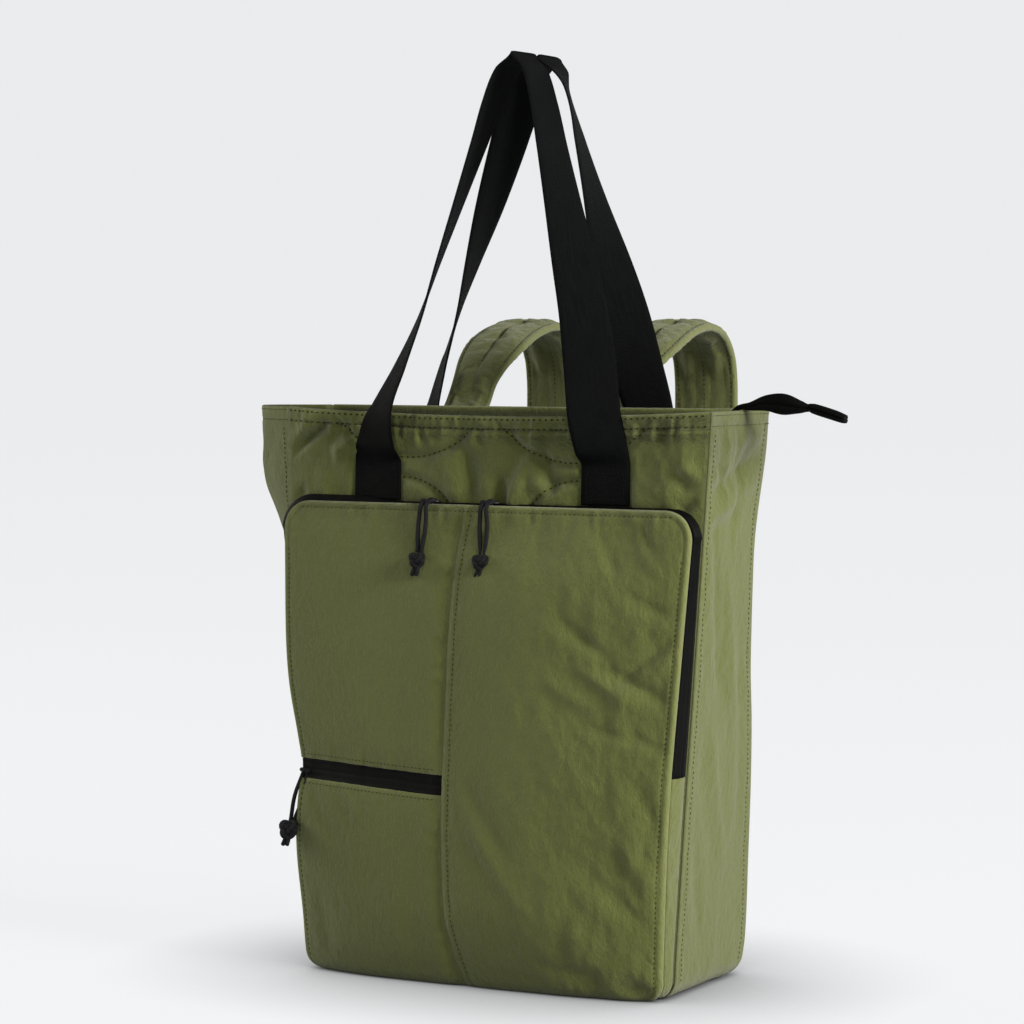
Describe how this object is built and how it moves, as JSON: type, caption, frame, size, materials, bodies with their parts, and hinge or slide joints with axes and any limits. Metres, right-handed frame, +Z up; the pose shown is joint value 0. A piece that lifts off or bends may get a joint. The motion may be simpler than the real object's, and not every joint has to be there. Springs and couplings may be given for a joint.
{
  "type": "convertible backpack",
  "caption": "Tall soft tote that converts to a backpack: zipped front pocket, upright webbing handles and padded shoulder straps behind an open, hollow cloth shell.",
  "frame": {"origin": "middle of the base panel's underside, on the floor that the bag stands on", "axes": "+Z up, +X to the wearer's left seen from the pocket side (the picture's right), -Y out of the pocket face, +Y towards the shoulder straps"},
  "size_m": [0.4653, 0.2874, 0.6705],
  "materials": {
    "olive_cloth": "crinkled matt nylon weave, slubby, olive",
    "strap_cloth": "padded matt weave, stitched, olive",
    "black_webbing": "flat woven webbing, fine twill, black",
    "black_zip": "coated zip tape with fine teeth, black",
    "black_metal": "satin black zip slider",
    "black_cord": "braided cord, black",
    "black_plastic": "moulded black adjuster"
  },
  "bodies": {
    "root": {"front_panel": "olive_cloth", "gusset_right": "olive_cloth", "back_panel": "olive_cloth", "gusset_left": "olive_cloth", "base_panel": "olive_cloth", "pocket_panel_right": "olive_cloth", "pocket_panel_left_upper": "olive_cloth", "pocket_panel_left_lower": "olive_cloth", "low_zip_tape": "black_zip", "pocket_zip_tape": "black_zip", "pocket_side_right": "olive_cloth", "pocket_side_left": "olive_cloth", "pocket_slider_left": "black_metal", "pull_cord_left": "black_cord", "pull_knot_left": "black_cord", "pocket_slider_right": "black_metal", "pull_cord_right": "black_cord", "pull_knot_right": "black_cord", "low_slider": "black_metal", "pull_cord_low": "black_cord", "pull_knot_low": "black_cord", "mouth_zip_front": "black_zip", "mouth_zip_back": "black_zip", "mouth_zip_tail": "black_zip", "mouth_zip_tab": "black_zip", "handle_front": "black_webbing", "handle_back": "black_webbing", "shoulder_strap_left": "strap_cloth", "strap_adjuster_left": "black_plastic", "strap_webbing_left": "black_webbing", "shoulder_strap_right": "strap_cloth", "strap_adjuster_right": "black_plastic", "strap_webbing_right": "black_webbing"}
  },
  "joints": []
}
